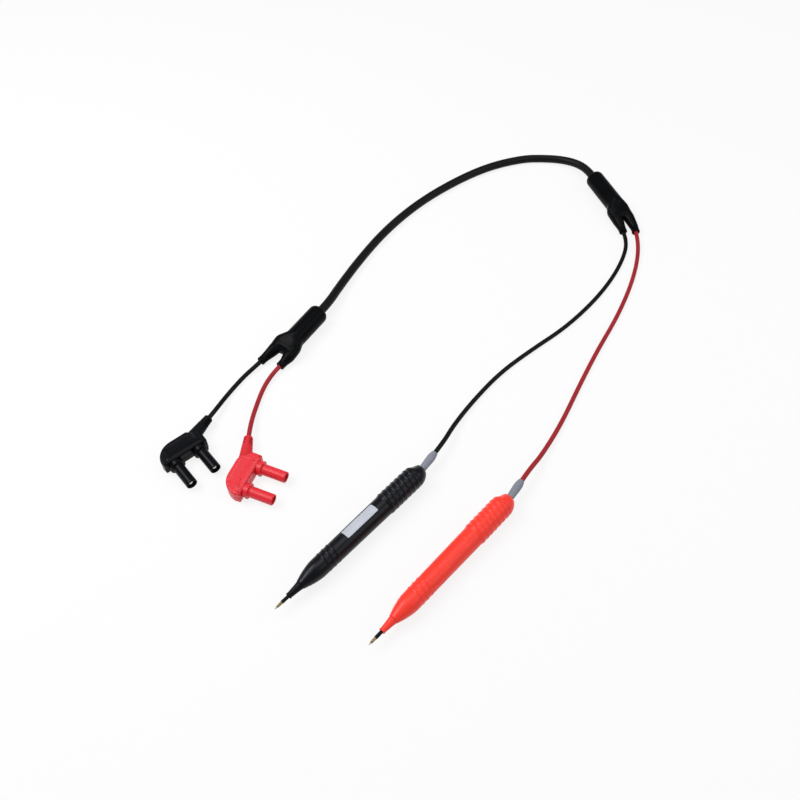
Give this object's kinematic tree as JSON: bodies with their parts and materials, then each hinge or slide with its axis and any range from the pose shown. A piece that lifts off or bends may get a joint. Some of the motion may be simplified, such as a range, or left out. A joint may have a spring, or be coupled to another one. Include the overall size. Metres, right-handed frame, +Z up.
{
  "type": "four-terminal test lead set",
  "caption": "Four-wire resistance test lead set with coaxial sprung-tip pen probes, breakout boots on the cable and shrouded double 4 mm plugs",
  "frame": {"origin": "On the table under the middle of the two pens (the pens' own box, without the cords)", "axes": "+Y along the pens, away from their tips; +Z up from the table; +X towards the red pen"},
  "size_m": [0.2573, 0.483, 0.0165],
  "materials": {
    "black_grip": "satin moulded",
    "red_grip": "satin moulded",
    "black_moulding": "satin",
    "black_plug_plastic": "semi-gloss moulded",
    "red_plug_plastic": "semi-gloss moulded",
    "black_plug_rubber": "satin",
    "red_plug_rubber": "satin",
    "boot_rubber": "satin",
    "grey_rubber": "satin",
    "black_jacket": "satin",
    "red_jacket": "satin",
    "cable_jacket": "satin",
    "gold_plate": "plated",
    "silver_plate": "plated",
    "nickel_plate": "plated",
    "spring_steel": "drawn wire",
    "clamp_metal": "tinned",
    "natural_plastic": "natural",
    "label_film": "brushed film"
  },
  "bodies": {
    "lead_set": {"black_centre_barrel": "gold_plate", "black_centre_spring": "spring_steel", "black_contact_barrel": "gold_plate", "black_guard_tube": "black_moulding", "black_handle": "black_grip", "black_inner_insulator": "natural_plastic", "black_label": "label_film", "black_lantern_springs": "gold_plate", "black_lead_boot": "black_plug_rubber", "black_lead_clamp": "clamp_metal", "black_nozzle": "black_moulding", "black_outer_spring": "spring_steel", "black_pen_lead": "black_jacket", "black_pen_lead_end": "black_jacket", "black_pin_a": "nickel_plate", "black_pin_b": "nickel_plate", "black_pin_carrier": "natural_plastic", "black_plug_base": "black_plug_plastic", "black_plug_cover": "black_plug_plastic", "black_plug_lead": "black_jacket", "black_plug_lead_end": "black_jacket", "black_rear_boot": "grey_rubber", "black_rear_cap": "black_grip", "black_shroud_a": "black_plug_plastic", "black_shroud_b": "black_plug_plastic", "main_cable": "cable_jacket", "pen_end_breakout_boot": "boot_rubber", "pen_end_splice_sleeves": "clamp_metal", "pen_end_wiring": "cable_jacket", "plug_end_breakout_boot": "boot_rubber", "plug_end_splice_sleeves": "clamp_metal", "plug_end_wiring": "cable_jacket", "red_centre_barrel": "gold_plate", "red_centre_spring": "spring_steel", "red_contact_barrel": "gold_plate", "red_guard_tube": "black_moulding", "red_handle": "red_grip", "red_inner_insulator": "natural_plastic", "red_lantern_springs": "gold_plate", "red_lead_boot": "red_plug_rubber", "red_lead_clamp": "clamp_metal", "red_nozzle": "red_grip", "red_outer_spring": "spring_steel", "red_pen_lead": "red_jacket", "red_pen_lead_end": "red_jacket", "red_pin_a": "nickel_plate", "red_pin_b": "nickel_plate", "red_pin_carrier": "natural_plastic", "red_plug_base": "red_plug_plastic", "red_plug_cover": "red_plug_plastic", "red_plug_lead": "red_jacket", "red_plug_lead_end": "red_jacket", "red_rear_boot": "grey_rubber", "red_rear_cap": "red_grip", "red_shroud_a": "red_plug_plastic", "red_shroud_b": "red_plug_plastic"},
    "black_contact": {"black_outer_contact": "gold_plate"},
    "black_plunger": {"black_centre_plunger": "silver_plate"},
    "red_contact": {"red_outer_contact": "gold_plate"},
    "red_plunger": {"red_centre_plunger": "silver_plate"}
  },
  "joints": [
    {"name": "black_contact_slide", "type": "slide", "parent": "lead_set", "child": "black_contact", "axis": [0, 1, 0], "range_m": [0, 0.0018], "stiffness_N_per_m": 400, "springref_m": -0.003, "deforming": ["black_outer_spring"]},
    {"name": "black_plunger_slide", "type": "slide", "parent": "lead_set", "child": "black_plunger", "axis": [0, 1, 0], "range_m": [0, 0.0033], "stiffness_N_per_m": 120, "springref_m": -0.004, "deforming": ["black_centre_spring"]},
    {"name": "red_contact_slide", "type": "slide", "parent": "lead_set", "child": "red_contact", "axis": [0, 1, 0], "range_m": [0, 0.0018], "stiffness_N_per_m": 400, "springref_m": -0.003, "deforming": ["red_outer_spring"]},
    {"name": "red_plunger_slide", "type": "slide", "parent": "lead_set", "child": "red_plunger", "axis": [0, 1, 0], "range_m": [0, 0.0033], "stiffness_N_per_m": 120, "springref_m": -0.004, "deforming": ["red_centre_spring"]}
  ]
}
